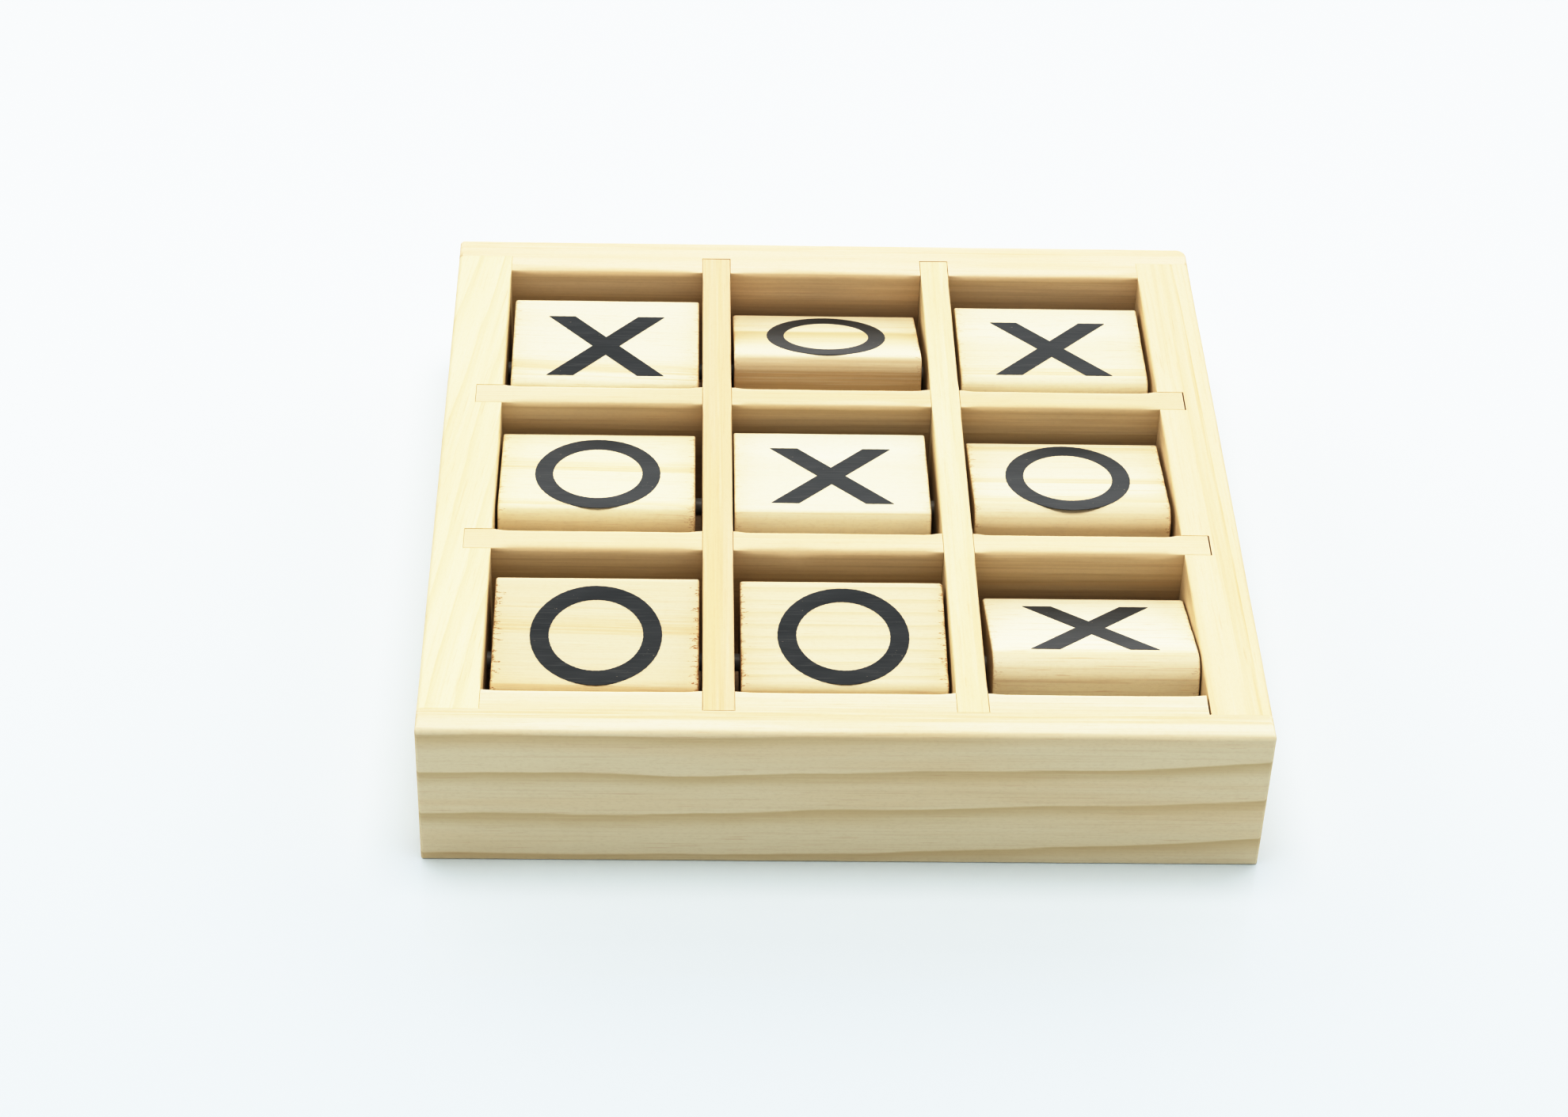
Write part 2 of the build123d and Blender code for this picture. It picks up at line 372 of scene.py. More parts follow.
def torn_ends_with_shadow(graph, colour, u, far, half_length, amount):
    """Painted shadow in the tear-outs where the saw has torn the fibres, just inside both ends of a block."""
    inside = graph.math("SUBTRACT", half_length, graph.math("ABSOLUTE", u))
    ragged = graph.noise(far, (0.5, 1.5, 1.5), detail=4.0, roughness=0.65)
    reach = graph.times(graph.between(ragged, 0.46, 0.70), 1.9)
    # painted shadow in the tear-outs, ragged along the ends
    torn = graph.between(graph.math("SUBTRACT", inside, reach), 0.18, -0.25)
    speckle = graph.noise(far, (2.0, 5.0, 5.0))
    torn = graph.times(torn, graph.between(speckle, 0.40, 0.58))
    return graph.mix(graph.times(torn, amount), colour, TORN_SHADOW_BROWN)


def pine(name, along="X", slope=0.0, lean=90.0, spacing=7.0, shift=0.0, rise=0.0, late=0.5, warm=0.4,
         streaks=0.9, seed=1, pale=(0.83, 0.715, 0.485), bands=(), wander=5.0, side_shade=0.0, tear_shadow_marks=None):
    """Planed pine, with its grain along X or Y, turned by slope.

    Its rings lie across the direction that leans from Y towards Z, in millimetres of spacing, moved by shift. late,
    warm and streaks are the strengths of the rings, of the warm patches and of the fine streaks, and wander is how
    far the rings wave. bands, side_shade and tear_shadow_marks are given on to tan_band, grain_and_shade_sides and
    torn_ends_with_shadow: side_shade paints shade on the upright faces and tear_shadow_marks paints shadow in a
    block's torn ends.
    """
    graph = Graph(name)
    place, far = grain_space(graph, along, slope, seed)
    u, v, w = graph.split(place)
    bend = graph.noise(far, (0.014, 0.05, 0.05))
    ripple = graph.noise(far, (0.05, 0.22, 0.22), detail=3.0)
    waves = graph.add(
        graph.times(graph.math("SUBTRACT", bend, 0.5), wander),
        graph.times(graph.math("SUBTRACT", ripple, 0.5), 1.1),
    )
    fibre = graph.noise(far, (0.035, 2.4, 2.4), detail=4.0, roughness=0.6)
    thread = graph.noise(far, (0.22, 9.0, 9.0))
    patch = graph.noise(far, (0.012, 0.16, 0.16), distortion=0.3)
    dash = graph.noise(far, (0.11, 3.3, 3.3), detail=1.0)
    mottle = graph.noise(far, (1.1, 2.8, 2.8), roughness=0.6)

    ring = growth_rings(graph, u, v, w, waves, lean, spacing, shift, rise)
    colour = graph.mix(graph.times(ring, late), pale, RING_BROWN)
    for band in bands:
        colour = tan_band(graph, colour, v, w, waves, fibre, *band)
    for amount, tone in (
        (graph.times(graph.between(patch, 0.42, 0.72), warm), WARM_TAN),
        (graph.times(graph.between(fibre, 0.50, 0.74), 0.17 * streaks), FIBRE_BROWN),
        (graph.times(graph.between(fibre, 0.48, 0.28), 0.18), FIBRE_CREAM),
        (graph.times(graph.between(dash, 0.66, 0.76), 0.26 * streaks), DASH_BROWN),
        (graph.times(graph.between(mottle, 0.45, 0.72), 0.09), MOTTLE_BROWN),
    ):
        colour = graph.mix(amount, colour, tone)
    # painted shade on the upright faces, with grain lines through it
    if side_shade:
        colour = grain_and_shade_sides(graph, colour, along, w, far, side_shade)
    # sawn ends are darker
    end_axis = graph.split(graph.normal)[0 if along == "X" else 1]
    end = graph.between(graph.math("ABSOLUTE", end_axis), 0.55, 0.95)
    colour = graph.mix(graph.times(end, 0.45), colour, SAWN_BROWN)
    # painted shadow in the tear-outs at a block's ends
    if tear_shadow_marks:
        colour = torn_ends_with_shadow(graph, colour, u, far, *tear_shadow_marks)
    graph.put(graph.shader.inputs["Base Color"], colour)

    rough = graph.add(0.46, graph.times(fibre, 0.16))
    graph.put(graph.shader.inputs["Roughness"], graph.add(rough, graph.times(ring, -0.05)))
    height = graph.add(graph.times(fibre, 0.6), graph.times(thread, 0.35))
    graph.bump(graph.add(height, graph.times(ring, 0.5)), 0.06, 0.5)
    return graph.material


def plywood():
    """Rotary-cut face veneer of the base panel: wide, faint flame figure."""
    graph = Graph("plywood")
    far = grain_space(graph, "X", 2.0, 23)[1]
    wander = graph.noise(far, (0.010, 0.022, 0.022))
    flame = graph.math("SINE", graph.times(wander, 95.0))
    fibre = graph.noise(far, (0.05, 2.0, 2.0), detail=4.0, roughness=0.6)
    pore = graph.noise(far, (0.30, 4.5, 4.5), detail=1.0)
    colour = graph.mix(graph.between(flame, -0.6, 1.0), (0.66, 0.51, 0.33), (0.60, 0.435, 0.26))
    colour = graph.mix(graph.times(graph.between(fibre, 0.45, 0.75), 0.5), colour, (0.47, 0.30, 0.155))
    colour = graph.mix(graph.times(graph.between(pore, 0.63, 0.72), 0.6), colour, (0.33, 0.20, 0.10))
    graph.put(graph.shader.inputs["Base Color"], colour)
    graph.put(graph.shader.inputs["Roughness"], graph.add(0.55, graph.times(fibre, 0.2)))
    graph.bump(graph.add(fibre, graph.times(pore, -0.6)), 0.08, 0.5)
    return graph.material


def shaded_rod_plastic():
    """Extruded plastic, its colour darkened to grey-brown as painted shade of the gaps the rod sits in, with fine
    drawing lines along the rod.
    """
    graph = Graph("shaded_rod_plastic")
    place = graph.millimetres()
    drawn = graph.noise(place, (0.02, 6.0, 6.0), detail=3.0)
    cloud = graph.noise(place, (0.15, 0.6, 0.6))
    # the colour is darkened as painted shade of the gaps the rod sits in
    colour = graph.mix(graph.between(cloud, 0.3, 0.7), (0.30, 0.295, 0.27), (0.38, 0.37, 0.33))
    colour = graph.mix(graph.times(drawn, 0.25), colour, (0.25, 0.24, 0.21))
    graph.put(graph.shader.inputs["Base Color"], colour)
    graph.put(graph.shader.inputs["Roughness"], graph.add(0.30, graph.times(drawn, 0.2)))
    graph.bump(drawn, 0.03, 0.4)
    return graph.material


def ink():
    """Charcoal screen ink: satin, with the grain showing through as fine lines and a few pinholes."""
    graph = Graph("ink")
    place = graph.millimetres()
    line = graph.noise(place, (0.12, 5.0, 5.0), detail=3.0, roughness=0.6)
    cloud = graph.noise(place, (0.10, 0.35, 0.35))
    pinhole = graph.noise(place, (1.3, 2.6, 2.6), roughness=0.7)
    colour = graph.mix(graph.between(cloud, 0.3, 0.7), (0.036, 0.041, 0.043), (0.050, 0.055, 0.057))
    colour = graph.mix(graph.times(graph.between(line, 0.52, 0.72), 0.75), colour, (0.095, 0.096, 0.092))
    colour = graph.mix(graph.between(pinhole, 0.745, 0.77), colour, (0.45, 0.38, 0.27))
    graph.put(graph.shader.inputs["Base Color"], colour)
    graph.put(graph.shader.inputs["Roughness"], graph.add(0.30, graph.times(line, 0.22)))
    graph.bump(line, 0.03, 0.5)
    return graph.material


# ---------------------------------------------------------------- mesh tools

def wobble(t, seed, length):
    """Smooth repeatable noise from -1 to 1 along t, with features about as long as length."""
    total = np.zeros_like(t, dtype=float)
    for k in range(1, 6):
        pitch = 2 * math.pi * (0.45 + 0.37 * k) / length
        total = total + np.sin(t * pitch + 1.7 * seed * k + 0.9 * k * k) / (k + 0.5)
    return total / 1.6


def dips(t, seed, spots, width):
    """0 to 1: separate rounded dips along t, at places drawn from a seeded generator."""
    generator = np.random.default_rng(seed)
    low, high = float(np.min(t)), float(np.max(t))
    total = np.zeros_like(t, dtype=float)
    for place, reach, depth in zip(
        generator.uniform(low, high, spots),
        generator.uniform(0.5, 1.5, spots) * width,
        generator.uniform(0.3, 1.0, spots),
    ):
        total = np.maximum(total, depth * np.exp(-(((t - place) / reach) ** 2)))
    return total


def grid_lines(low, high, step):
    """Places to cut between two ends: close together near both, and no more than a step apart between."""
    inner_low, inner_high = low + NEAR_EDGE[-1], high - NEAR_EDGE[-1]
    lines = [low + m for m in NEAR_EDGE] + [high - m for m in NEAR_EDGE]
    count = max(1, math.ceil((inner_high - inner_low) / step))
    lines += [inner_low + (inner_high - inner_low) * k / count for k in range(1, count)]
    return sorted(lines)


def link_piece(name, mesh, material, sharp_edge=SHARP_EDGE):
    """Adds a mesh to the scene as a smooth-shaded piece, with the edges of this angle and more left sharp."""
    mesh.materials.append(material)
    mesh.shade_smooth()
    mesh.set_sharp_from_angle(angle=math.radians(sharp_edge))
    piece = add_object(name, mesh)
    return piece


def cut_grid(mesh_data, lines):
    """A copy of a CAD mesh with its flat faces joined and then cut into a grid by planes across each axis."""
    bm = bmesh.new()
    bm.from_mesh(mesh_data)
    bmesh.ops.remove_doubles(bm, verts=bm.verts, dist=MERGE * MM)
    bmesh.ops.dissolve_limit(bm, angle_limit=math.radians(FLAT), verts=bm.verts, edges=bm.edges)
    for axis, places in enumerate(lines):
        normal = Vector((axis == 0, axis == 1, axis == 2))
        for place in places:
            geometry = bm.verts[:] + bm.edges[:] + bm.faces[:]
            bmesh.ops.bisect_plane(
                bm, geom=geometry, dist=ON_CUT * MM, plane_co=normal * place * MM, plane_no=normal
            )
    large = [f for f in bm.faces if len(f.verts) > 4]
    bmesh.ops.triangulate(bm, faces=large)
    return bm


def board(node, material, steps, shape):
    """Replaces a CAD board with a finely cut copy of it, whose points shape(points, lowest, highest) moves."""
    low, high = (Vector(c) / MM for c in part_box(node))
    lines = [grid_lines(low[a], high[a], steps[a]) for a in range(3)]
    bm = cut_grid(frame["nodes"][node].data, lines)
    points = np.array([v.co for v in bm.verts]) / MM
    moved = shape(points, low, high)
    for vertex, place in zip(bm.verts, moved):
        vertex.co = Vector(place) * MM
    mesh = bpy.data.meshes.new("pine_" + node)
    bm.to_mesh(mesh)
    bm.free()
    piece = link_piece("pine_" + node, mesh, material)
    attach(piece, "tray")
    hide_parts(node)


def round_off(points, axes, corner, inwards, radius):
    """Sands an arris to a radius, which may vary from point to point: what is outside it is pulled in.

    The arris runs along the third axis, at corner on the two axes given, and inwards holds their signs into the wood.
    """
    first = (points[:, axes[0]] - corner[0]) * inwards[0] - radius
    second = (points[:, axes[1]] - corner[1]) * inwards[1] - radius
    outside = (first < 0) & (second < 0)
    distance = np.maximum(np.hypot(first, second), 1e-9)
    shrink = np.where(outside, np.minimum(1, radius / distance), 1)
    points[:, axes[0]] = corner[0] + (first * shrink + radius) * inwards[0]
    points[:, axes[1]] = corner[1] + (second * shrink + radius) * inwards[1]


def swept(rings, closed=True):
    """Points of rings of equal length, and faces from each ring to the next. Closed, the last joins the first."""
    count, size = len(rings), len(rings[0])
    vertices = [tuple(p) for ring in rings for p in ring]
    faces = []
    for k in range(count if closed else count - 1):
        here, there = k * size, (k + 1) % count * size
        for i in range(size):
            j = (i + 1) % size
            faces.append((here + i, here + j, there + j, there + i))
    return vertices, faces


def mesh_from(name, vertices, faces):
    """A mesh in metres from points in millimetres, with its faces turned outwards."""
    mesh = bpy.data.meshes.new(name)
    mesh.from_pydata([Vector(v) * MM for v in vertices], [], faces)
    bm = bmesh.new()
    bm.from_mesh(mesh)
    bmesh.ops.recalc_face_normals(bm, faces=bm.faces)
    bm.to_mesh(mesh)
    bm.free()
    return mesh


# ---------------------------------------------------------------- the tray's boards

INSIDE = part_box("right_rail")[0].x / MM  # from the tray's centre to the rails' inner faces
DIVIDER_LOW, DIVIDER_HIGH = (corner.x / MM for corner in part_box("long_divider_right"))
DIVIDER_AT, DIVIDER_HALF = (DIVIDER_LOW + DIVIDER_HIGH) / 2, (DIVIDER_HIGH - DIVIDER_LOW) / 2


def clear_of_joints(t):
    """0 where a board meets another one, rising to 1 a few millimetres away."""
    from_divider = np.abs(np.abs(t) - DIVIDER_AT) - DIVIDER_HALF
    from_rail = INSIDE - np.abs(t)
    distance = np.maximum(np.minimum(from_divider, from_rail), 0)
    return 1 - np.exp(-((distance / JOINT_REACH) ** 2))


def sanded(seed, low=0.7, high=0.7, along=0, outer=None, ends=None, scars=()):
    """The shape of a board that was sanded by hand after the tray was glued up.

    low and high are the radii of its two top arrises. They shrink to almost nothing at the joints, except on the
    outer side. ends is the radius of the end arrises. Each scar is a torn spot: the side, its place along the board,
    its length and its depth.
    """
    across = 1 - along
    unsanded, finest = 0.08, 0.02

    def shape(points, lowest, highest):
        moved = points.copy()
        t = points[:, along]
        moved[:, across] += 0.03 * wobble(t, seed + 3, 55.0)
        for side, edge, radius, inwards, draw in (("low", lowest, low, 1, 3), ("high", highest, high, -1, 4)):
            open_part = 1.0 if outer == side else clear_of_joints(t)
            hand = 1 + 0.16 * wobble(t, seed + draw, 34.0) + 0.05 * wobble(t, seed + 2 * draw, 5.0)
            worn = unsanded + (radius - unsanded) * open_part * hand
            for where, place, length, depth in scars:
                if where == side:
                    spot = np.exp(-(((t - place) / length) ** 2))
                    worn += depth * spot * (0.8 + 0.35 * wobble(t, seed + 11, 0.9))
            round_off(moved, (across, 2), (edge[across], highest[2]), (inwards, -1), np.maximum(worn, finest))
            lower = 0.35 + 0.08 * wobble(t, seed + 9, 14.0)
            round_off(moved, (across, 2), (edge[across], lowest[2]), (inwards, 1), lower)
        if ends:
            for edge, inwards in ((lowest, 1), (highest, -1)):
                worn = ends * (1 + 0.2 * wobble(points[:, across], seed + 6, 8.0))
                round_off(moved, (along, 2), (edge[along], highest[2]), (inwards, -1), worn)
                round_off(moved, (along, 2), (edge[along], lowest[2]), (inwards, 1), 0.7 * worn)
        return np.clip(moved, np.array(lowest), np.array(highest))

    return shape


# each board's direction, its wood, as pine takes it, and its shape, as sanded takes it
BOARDS = {
    "front_rail": (
        "X",
        dict(name="pine_front_rail", lean=112.0, spacing=8.4, shift=6.2, rise=4.4, late=0.72, warm=0.25, seed=2,
             pale=(0.84, 0.745, 0.54), bands=((0.0, -66.6, 7.0, 0.46), (0.0, -65.6, 0.9, 0.28))),
        dict(seed=11, low=1.05, high=0.65, outer="low", ends=0.5),
    ),
    "back_rail": (
        "X",
        dict(name="pine_back_rail", lean=75.0, spacing=9.0, shift=1.0, late=0.30, warm=0.7, seed=3,
             pale=(0.88, 0.715, 0.50), side_shade=0.75,
             bands=((0.0, 67.5, 2.4, 0.25), (80.0, 19.0, -0.8, 0.5), (80.0, 12.0, -1.5, 0.5))),
        dict(seed=12, low=1.0, high=0.8, outer="high", ends=0.6),
    ),
    "left_rail": (
        "Y",
        dict(name="pine_left_rail", slope=-7.5, lean=10.0, spacing=4.6, shift=0.5, late=0.30, warm=0.3, seed=4,
             pale=(0.90, 0.775, 0.505), side_shade=0.4),
        dict(seed=13, low=0.9, high=0.6, outer="low"),
    ),
    "right_rail": (
        "Y",
        dict(name="pine_right_rail", slope=0.6, lean=25.0, spacing=5.6, shift=1.9, late=0.22, warm=0.45, seed=5,
             pale=(0.87, 0.715, 0.475), bands=((0.0, -67.7, 0.9, 0.75), (0.0, -65.2, 0.5, 0.3)), wander=1.6,
             side_shade=0.4),
        dict(seed=14, low=0.6, high=0.9, outer="high"),
    ),
    "long_divider_left": (
        "Y",
        dict(name="pine_long_left", lean=80.0, spacing=9.0, shift=3.0, late=0.25, warm=0.75, seed=6,
             pale=(0.84, 0.66, 0.44), bands=((0.0, 20.0, 1.6, 0.35), (0.0, 23.0, -0.9, 0.25)), wander=1.2,
             side_shade=0.6),
        dict(seed=15, low=0.5, high=0.5),
    ),
    "long_divider_right": (
        "Y",
        dict(name="pine_long_right", lean=15.0, spacing=6.5, shift=1.0, late=0.22, warm=0.5, seed=7,
             pale=(0.88, 0.75, 0.49), side_shade=0.6),
        dict(seed=16, low=0.5, high=0.5,
             scars=(("high", 1.0, 0.7, 0.5), ("high", 61.5, 1.2, 0.3), ("low", -38.0, 0.6, 0.25))),
    ),
    "cross_divider_front": (
        "X",
        dict(name="pine_cross_front", lean=85.0, spacing=7.0, shift=6.0, late=0.3, warm=0.3, seed=8,
             pale=(0.84, 0.69, 0.46), bands=((85.0, 20.5, -2.5, 0.55), (85.0, 14.0, -2.0, 0.5)), side_shade=0.85),
        dict(seed=17, low=1.25, high=0.8, scars=(("low", -7.5, 2.2, 0.7), ("low", 31.0, 1.0, 0.3))),
    ),
    "cross_divider_back": (
        "X",
        dict(name="pine_cross_back", lean=95.0, spacing=6.0, shift=2.0, late=0.35, warm=0.45, seed=9,
             pale=(0.84, 0.705, 0.485), bands=((95.0, 15.0, -3.0, 0.55),), side_shade=0.75),
        dict(seed=18, low=1.0, high=0.8),
    ),
}


def make_tray():
    """The four rails, the four dividers, the base panel and the rods."""
    for node, (along, wood, shape) in BOARDS.items():
        material = pine(along=along, **wood)
        board(node, material, STEPS[along], sanded(along="XY".index(along), **shape))
    board("base_panel", plywood(), PANEL_STEPS, sanded(19, low=0.1, high=0.1))
    plastic = shaded_rod_plastic()
    for row in ("back", "middle", "front"):
        make_rod(row, plastic)


def make_rod(row, material):
    """A drawn plastic rod with slightly rounded, sawn ends."""
    low, high = (Vector(c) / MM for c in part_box("axle_rod_" + row))
    radius = (high.z - low.z) / 2
    middle = (low + high) / 2
    end = [(low.x, r) for r in (*ROD_END_RADII, radius - ROD_EASE)]
    end += [
        (low.x + ROD_EASE * (1 - math.cos(a)), radius - ROD_EASE + ROD_EASE * math.sin(a))
        for a in (0.5, 1.0, math.pi / 2)
    ]
    straight = high.x - low.x - 2 * ROD_EASE
    profile = end + [(low.x + ROD_EASE + straight * k / ROD_STATIONS, radius) for k in range(1, ROD_STATIONS)]
    profile += [(low.x + high.x - x, r) for x, r in reversed(end)]
    turns = [2 * math.pi * i / ROD_SIDES for i in range(ROD_SIDES)]
    rings = [[(x, middle.y + r * math.cos(a), middle.z + r * math.sin(a)) for a in turns] for x, r in profile]
    vertices, faces = swept(rings, closed=False)
    faces.append(tuple(range(ROD_SIDES)))
    faces.append(tuple(len(vertices) - ROD_SIDES + i for i in range(ROD_SIDES)))
    piece = link_piece("rod_" + row, mesh_from("rod_" + row, vertices, faces), material)
    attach(piece, "tray")
    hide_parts("axle_rod_" + row)


# ---------------------------------------------------------------- the blocks

def block_frame(row, column):
    """The block's place, tilt and size, read from its CAD mesh: the matrix of its rod's axis and its sizes."""
    mesh = frame["nodes"][f"block_{row}_{column}"].data
    joint = next(j for j in frame["joints"] if j["child"] == f"{row}_{column}")
    areas = {}
    for polygon in mesh.polygons:
        key = tuple(round(c, 3) for c in polygon.normal)
        areas[key] = areas.get(key, 0.0) + polygon.area
    upwards = max((n for n in areas if n[2] > 0.5 and abs(n[0]) < 0.01), key=areas.get)
    tilt = math.atan2(-upwards[1], upwards[2])
    points = np.array([v.co for v in mesh.vertices])
    centre = (points[:, 0].min() + points[:, 0].max()) / 2
    place = Matrix.Translation((centre, joint["pos_m"][1], joint["pos_m"][2])) @ Matrix.Rotation(tilt, 4, "X")
    local = np.array([place.inverted() @ Vector(p) for p in points]) / MM
    width, depth, thickness = local.max(axis=0) - local.min(axis=0)
    return place, width, depth, thickness


def rounded_outline(depth, thickness, front, back):
    """Points at even spacing round a rectangle in Y and Z, with their outward normals.

    The corners at the front and at the back are rounded to the two radii. front may be two radii instead, in Y and
    in Z, for the upper corner: a tall one gives a crisp arris above a sloping front.
    """
    upper = front if isinstance(front, tuple) else (front, front)
    lower = (upper[0], upper[0])
    points, normals = [], []
    corners = [(1, 1, 0, (back, back)), (-1, 1, 90, upper), (-1, -1, 180, lower), (1, -1, 270, (back, back))]
    arcs = []
    for side, level, start, (in_y, in_z) in corners:
        y, z = side * (depth / 2 - in_y), level * (thickness / 2 - in_z)
        steps = max(3, math.ceil((in_y + in_z) * math.pi / 4 / OUTLINE_SPACING))
        arc = []
        for step in range(steps + 1):
            angle = math.radians(start + 90 * step / steps)
            outward = Vector((math.cos(angle) / in_y, math.sin(angle) / in_z)).normalized()
            arc.append(((y + in_y * math.cos(angle), z + in_z * math.sin(angle)), outward))
        arcs.append(arc)
    for k, arc in enumerate(arcs):
        first, outward = arc[-1]
        last = arcs[(k + 1) % 4][0][0]
        steps = math.ceil(math.dist(first, last) / OUTLINE_SPACING)
        flat = [(tuple(p + (q - p) * step / steps for p, q in zip(first, last)), outward) for step in range(1, steps)]
        for point, normal in arc + flat:
            points.append(point)
            normals.append(tuple(normal))
    return np.array(points), np.array(normals)


def worn_end(girth, grain, ragged):
    """The radius round the arris of a sawn end, with chips where it is ragged."""
    ease = 0.38 + 0.10 * wobble(girth, grain, 9.0) + 0.05 * wobble(girth, grain + 1, 1.6)
    ease += ragged * 0.55 * dips(girth, grain + 2, 16, 0.45)
    return np.clip(ease, 0.16, 1.1)


def block_mesh(name, width, depth, thickness, radii, seed, ragged):
    """A bored block: eased long edges, sawn ends with chipped arrises, and a hole for the rod."""
    outline, normals = rounded_outline(depth, thickness, *radii)
    count = len(outline)
    turn = np.arange(count) / count * 2 * math.pi
    girth = np.arange(count) * OUTLINE_SPACING
    half = width / 2
    inset_end = END_STATIONS[-1]
    inner = [inset_end + (width - 2 * inset_end) * k / MIDDLE_STATIONS for k in range(1, MIDDLE_STATIONS)]
    stations = END_STATIONS + inner + [width - s for s in reversed(END_STATIONS)]
    skew = SAW_SKEW * math.sin(3.1 * seed)
    eases = [worn_end(girth, 7 * seed + 40 * end, ragged) for end in (0, 1)]
    rings = []
    for station in stations:
        ease, inside = (eases[0], station) if station < half else (eases[1], width - station)
        lack = np.clip(ease - inside, 0, None)
        inset = ease - np.sqrt(np.clip(ease**2 - lack**2, 0, None))
        face = 0.018 * wobble(np.full(count, station) + 3 * np.sin(turn), seed + 3, 16.0)
        ring = outline - normals * (inset + FACE_INSET + face)[:, None]
        x = np.full(count, station - half) + skew * outline[:, 0] / SKEW_DEPTH
        rings.append(np.column_stack([x, ring]))
    bore_turn = np.arctan2(outline[:, 1], outline[:, 0])
    bore = np.column_stack([np.cos(bore_turn), np.sin(bore_turn)]) * BORE_RADIUS

    def end_rings(side):
        """From just inside the edge of an end to its bore. The end is a little furry, but not at the bore."""
        rim = rings[0] if side < 0 else rings[-1]
        made = []
        for share in END_FACE_SHARES:
            flat = rim[:, 1:] * (1 - share) + bore * share
            fuzz = 0.025 * wobble(flat[:, 1] + 0.4 * flat[:, 0], seed + 8, 1.1)
            x = side * (half - 0.03 + fuzz * (1 if share < 0.95 else 0)) + skew * flat[:, 0] / SKEW_DEPTH
            made.append(np.column_stack([x, flat]))
        lip = np.column_stack([np.full(count, side * (half - 0.06)), bore])
        return made + [lip]

    throat = [np.column_stack([np.full(count, half * share), bore]) for share in THROAT_SHARES]
    vertices, faces = swept(rings + end_rings(1) + throat + list(reversed(end_rings(-1))))
    return mesh_from(name, vertices, faces)


def ink_ring(outer, inner, seed):
    """Points and faces of a printed nought on the plane Z = 0, its edges a little rough."""
    turn = np.arange(NOUGHT_SIDES) / NOUGHT_SIDES * 2 * math.pi
    length = turn * outer
    rough_outer = outer + 0.035 * wobble(length, seed, 1.3) + 0.02 * wobble(length, seed + 1, 9.0)
    rough_inner = inner + 0.035 * wobble(length, seed + 2, 1.1) + 0.02 * wobble(length, seed + 3, 8.0)
    top = INK_THICKNESS
    rings = []
    for share, height in ((0, INK_FOOT), (0, top * 0.6), (0.01, top), (0.25, top), (0.5, top), (0.75, top),
                          (0.99, top), (1, top * 0.6), (1, INK_FOOT)):
        radius = rough_outer * (1 - share) + rough_inner * share
        rings.append(np.column_stack([radius * np.cos(turn), radius * np.sin(turn), np.full(NOUGHT_SIDES, height)]))
    return swept(rings)


def ink_cross(width, height, seed):
    """The same of a printed cross: two slanting strokes with level ends and slightly rough edges."""
    half_width, half_height = width / 2, height / 2
    inner = half_width - CROSS_STROKE
    slant = (width - CROSS_STROKE) / height
    notch = half_height - inner / slant
    quarter = [(half_width, half_height), (inner, half_height), (0.0, notch)]
    corners = quarter + [(-x, y) for x, y in reversed(quarter[:2])] + [(-CROSS_STROKE / 2, 0.0)]
    corners += [(-x, -y) for x, y in corners]
    outline = []
    for k, (start, stop) in enumerate(zip(corners, corners[1:] + corners[:1])):
        run = math.dist(start, stop)
        steps = max(2, math.ceil(run / CROSS_SPACING))
        across = ((stop[1] - start[1]) / run, -(stop[0] - start[0]) / run)
        places = np.arange(steps) / steps * run
        rough = 0.03 * wobble(places, seed + k, 1.4) * np.sin(places / run * math.pi) ** 0.5
        for place, amount in zip(places, rough):
            share = place / run
            outline.append((start[0] + (stop[0] - start[0]) * share + across[0] * amount,
                            start[1] + (stop[1] - start[1]) * share + across[1] * amount))
    bm = bmesh.new()
    upper, lower = ([bm.verts.new((x, y, level)) for x, y in outline] for level in (INK_THICKNESS, INK_FOOT))
    caps = [bm.faces.new(upper), bm.faces.new(lower)]
    for k, (here, below) in enumerate(zip(upper, lower)):
        bm.faces.new((upper[k - 1], here, below, lower[k - 1]))
    bm.normal_update()
    bmesh.ops.triangulate(bm, faces=caps)
    bm.verts.index_update()
    vertices = [tuple(v.co) for v in bm.verts]
    faces = [tuple(v.index for v in f.verts) for f in bm.faces]
    bm.free()
    return vertices, faces


def mark_mesh(name, row, column, place, thickness, upper, seed):
    """Both prints of a block in its own coordinates, where the CAD prints are."""
    source = frame["nodes"][f"marks_{row}_{column}"].data
    local = np.array([place.inverted() @ v.co for v in source.vertices]) / MM
    vertices, faces = [], []
    for side, mark in ((1, upper), (-1, "cross" if upper == "nought" else "nought")):
        on_side = local[local[:, 2] * side > 0]
        low, high = on_side.min(axis=0), on_side.max(axis=0)
        centre, size = (low + high) / 2, high - low
        if mark == "nought":
            made, joined = ink_ring(size[0] / 2, size[0] / 2 - NOUGHT_BAND, seed)
        else:
            made, joined = ink_cross(size[0], size[1], seed + 5)
        start = len(vertices)
        face_height = thickness / 2 - PRINT_INSET
        vertices += [(x + centre[0], y * side + centre[1], (z + face_height) * side) for x, y, z in made]
        faces += [tuple(start + i for i in face) for face in joined]
    return mesh_from(name, vertices, faces)


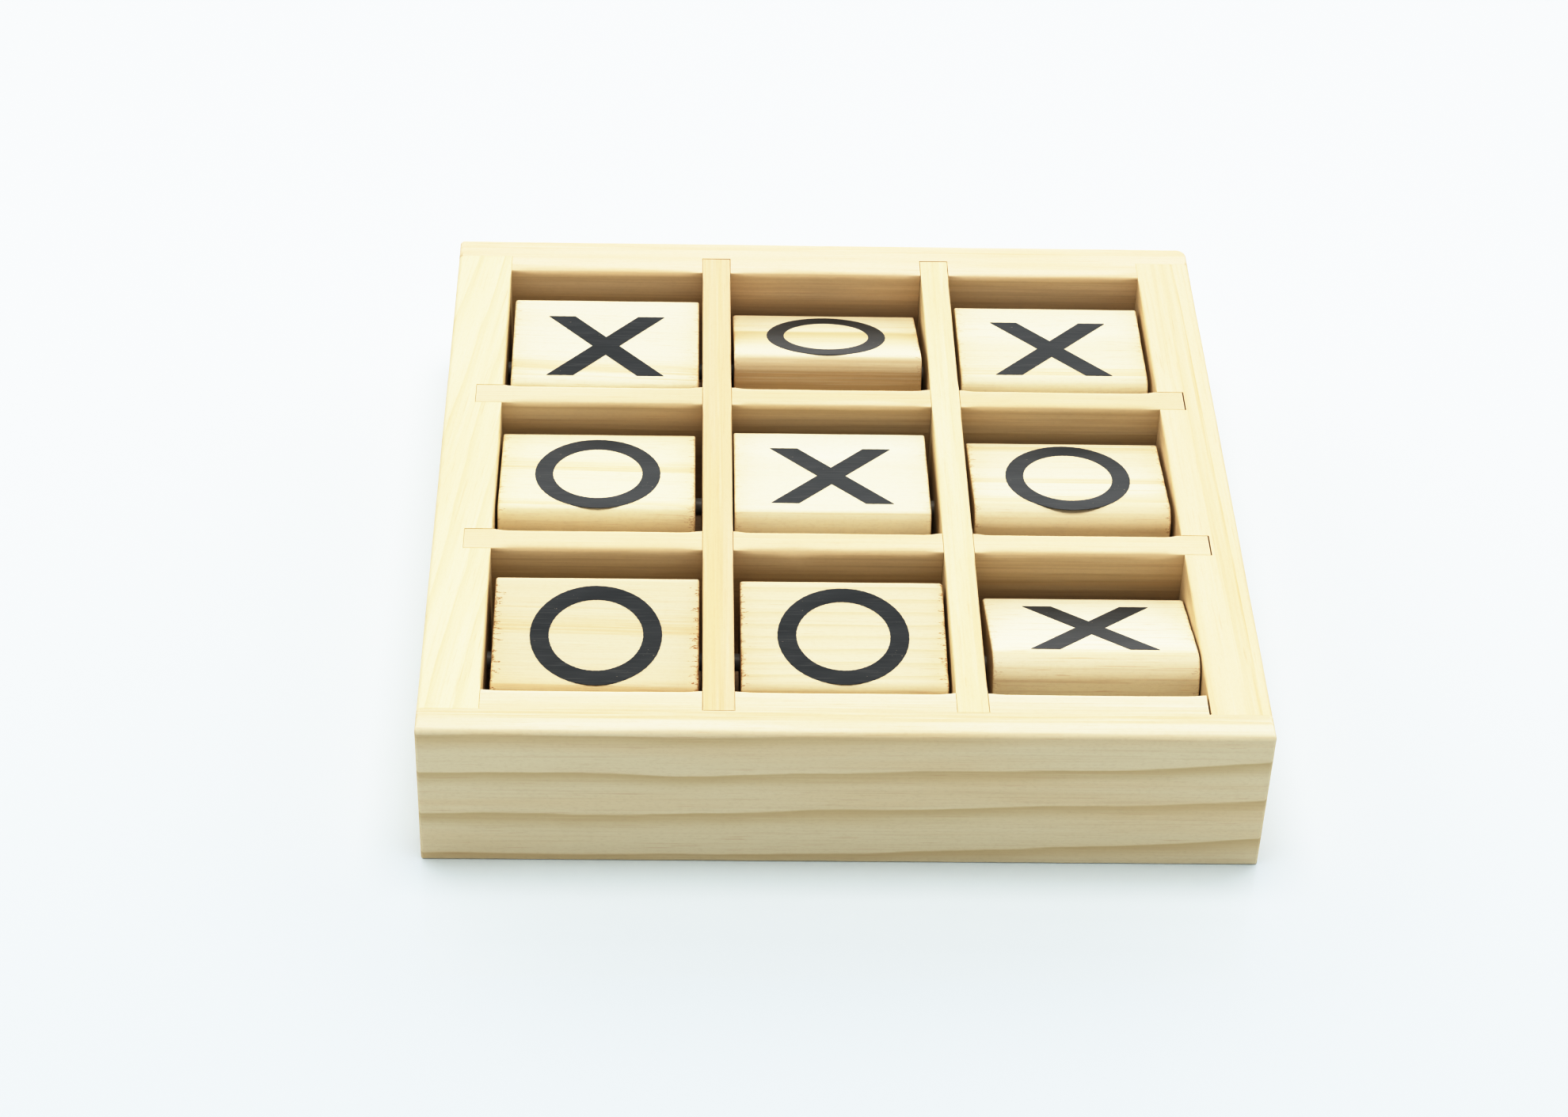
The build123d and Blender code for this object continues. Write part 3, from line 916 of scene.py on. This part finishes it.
# each block's upper mark, the radii of its front and back edges, how ragged its ends are, and its wood
BLOCKS = {
    ("back", "left"): dict(
        upper="cross", round=(2.6, 2.6), ragged=0.3,
        pine=dict(lean=80.0, spacing=11.0, shift=6.0, late=0.25, warm=0.15, seed=31, slope=-2.5,
                  pale=(0.90, 0.82, 0.60), bands=((10.0, -7.6, 5.0, 0.50), (10.0, -9.2, 0.7, 0.4)), wander=2.5),
    ),
    # On this block the band that leans 80 degrees is a grain band made dark enough to be painted shade on the lower
    # half of the front face, and the side shade paints more shade on the front face.
    ("back", "centre"): dict(
        upper="nought", round=(2.8, 1.3), ragged=0.3,
        pine=dict(lean=70.0, spacing=10.0, shift=2.0, late=0.75, warm=0.2, seed=32, pale=(0.86, 0.76, 0.55),
                  bands=((8.0, 7.2, -1.8, 0.25), (80.0, 2.2, -9.0, 0.75)), wander=1.2, side_shade=0.75),
    ),
    ("back", "right"): dict(
        upper="cross", round=(2.6, 2.6), ragged=0.3,
        pine=dict(lean=80.0, spacing=13.0, shift=5.0, late=0.2, warm=0.1, seed=33, pale=(0.90, 0.82, 0.60),
                  bands=((8.0, -9.0, 2.6, 0.46), (8.0, -6.9, -0.6, 0.3)), wander=0.8),
    ),
    ("middle", "left"): dict(
        upper="nought", round=((2.4, 5.0), 1.9), ragged=0.4,
        pine=dict(lean=80.0, spacing=9.0, shift=1.0, late=0.1, warm=0.12, seed=34, slope=-1.5,
                  pale=(0.915, 0.815, 0.57), bands=((10.0, 1.4, 4.6, 0.50), (10.0, -9.6, 2.4, 0.46)), wander=1.6),
    ),
    ("middle", "centre"): dict(
        upper="cross", round=((2.3, 6.0), 0.8), ragged=0.2,
        pine=dict(lean=85.0, spacing=9.0, shift=1.0, late=0.2, warm=0.05, streaks=0.2, seed=35,
                  pale=(0.93, 0.865, 0.65), bands=((80.0, 5.6, -7.0, 0.12), (8.0, -10.7, 0.45, 0.35)), wander=0.5),
    ),
    ("middle", "right"): dict(
        upper="nought", round=(3.4, 3.2), ragged=0.5,
        pine=dict(lean=75.0, spacing=9.0, shift=3.5, late=0.3, warm=0.2, seed=36, pale=(0.87, 0.78, 0.565),
                  bands=((8.0, -1.8, 2.6, 0.55), (8.0, 10.6, -2.4, 0.5), (8.0, -8.4, 2.6, 0.36),
                         (8.0, -4.4, 0.5, 0.3)), wander=1.4),
    ),
    ("front", "left"): dict(
        upper="nought", round=(2.6, 1.8), ragged=1.0,
        pine=dict(lean=80.0, spacing=11.5, shift=7.5, late=0.2, warm=0.25, seed=37, slope=-1.3,
                  pale=(0.78, 0.685, 0.475),
                  bands=((4.0, 0.3, 6.4, 0.50), (4.0, -11.2, -2.6, 0.5), (4.0, 5.8, 0.5, 0.4)), wander=1.0),
    ),
    ("front", "centre"): dict(
        upper="nought", round=(2.6, 2.2), ragged=0.8,
        pine=dict(lean=5.0, spacing=2.9, late=0.30, warm=0.15, streaks=1.3, seed=38, pale=(0.81, 0.71, 0.495),
                  bands=((5.0, -12.0, -1.4, 0.4),), wander=1.2),
    ),
    ("front", "right"): dict(
        upper="cross", round=(4.0, 2.9), ragged=0.3,
        pine=dict(lean=80.0, spacing=9.0, shift=3.0, late=0.35, warm=0.15, streaks=1.8, seed=39,
                  pale=(0.88, 0.80, 0.595), bands=((75.0, -3.0, -4.0, 0.15),), wander=1.5),
    ),
}


def make_blocks():
    """Every block with its prints, in its own coordinates about its rod, placed and tilted as the CAD one is."""
    printed = ink()
    for number, ((row, column), look) in enumerate(BLOCKS.items(), start=1):
        name = f"{row}_{column}"
        place, width, depth, thickness = block_frame(row, column)
        wood = pine("pine_block_" + name, **look["pine"], tear_shadow_marks=(width / 2, look["ragged"]))
        mesh = block_mesh("block_" + name, width, depth, thickness, look["round"], number, look["ragged"])
        block = link_piece("pine_block_" + name, mesh, wood, BLOCK_SHARP_EDGE)
        mesh = mark_mesh("ink_" + name, row, column, place, thickness, look["upper"], 10 * number)
        marks = link_piece("ink_" + name, mesh, printed)
        for piece, node in ((block, "block_" + name), (marks, "marks_" + name)):
            piece.matrix_world = place
            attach(piece, name)
            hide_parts(node)


make_camera()
make_light()
make_exposure()
make_floor()
make_tray()
make_blocks()
